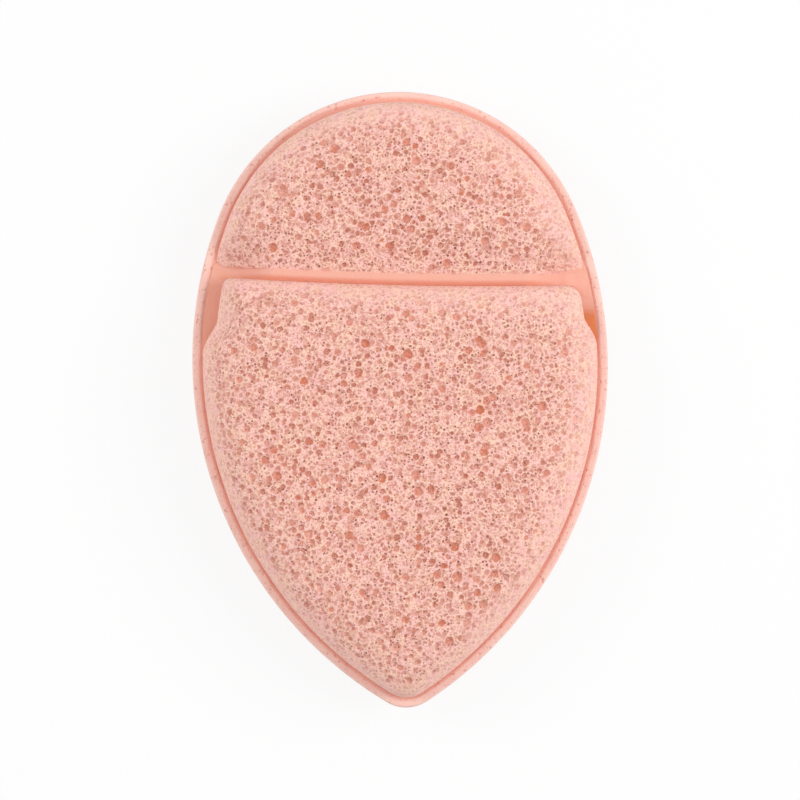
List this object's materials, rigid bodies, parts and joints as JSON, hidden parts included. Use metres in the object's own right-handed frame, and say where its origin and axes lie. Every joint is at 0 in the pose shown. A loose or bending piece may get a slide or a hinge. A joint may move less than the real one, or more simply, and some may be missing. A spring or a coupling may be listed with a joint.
{
  "type": "pocket cleansing sponge",
  "caption": "Teardrop foam facial cleansing sponge: two pressed sheets with a beaded edge and a slit finger pocket whose lip bends open.",
  "frame": {"origin": "middle of the outline on the surface it lies on", "axes": "+Z out of the front with the pocket, +Y along the length towards the round end, +X to the right seen from the front"},
  "size_m": [0.081, 0.12, 0.022],
  "materials": {
    "foam": "open-cell foam, matt",
    "pressed_foam": "foam pressed and melted smooth, matt"
  },
  "bodies": {
    "sponge": {"back_pad": "foam", "edge_weld": "pressed_foam", "upper_panel": "foam", "pocket_panel": "foam", "mouth_weld": "pressed_foam"},
    "lip": {"pocket_lip": "foam"}
  },
  "joints": [
    {"name": "lip_bend", "type": "hinge", "parent": "sponge", "child": "lip", "pos_m": [0, 0.0107, 0.022], "axis": [1, 0, 0], "range_deg": [0, 45], "stiffness_Nm_per_rad": 0.002}
  ]
}
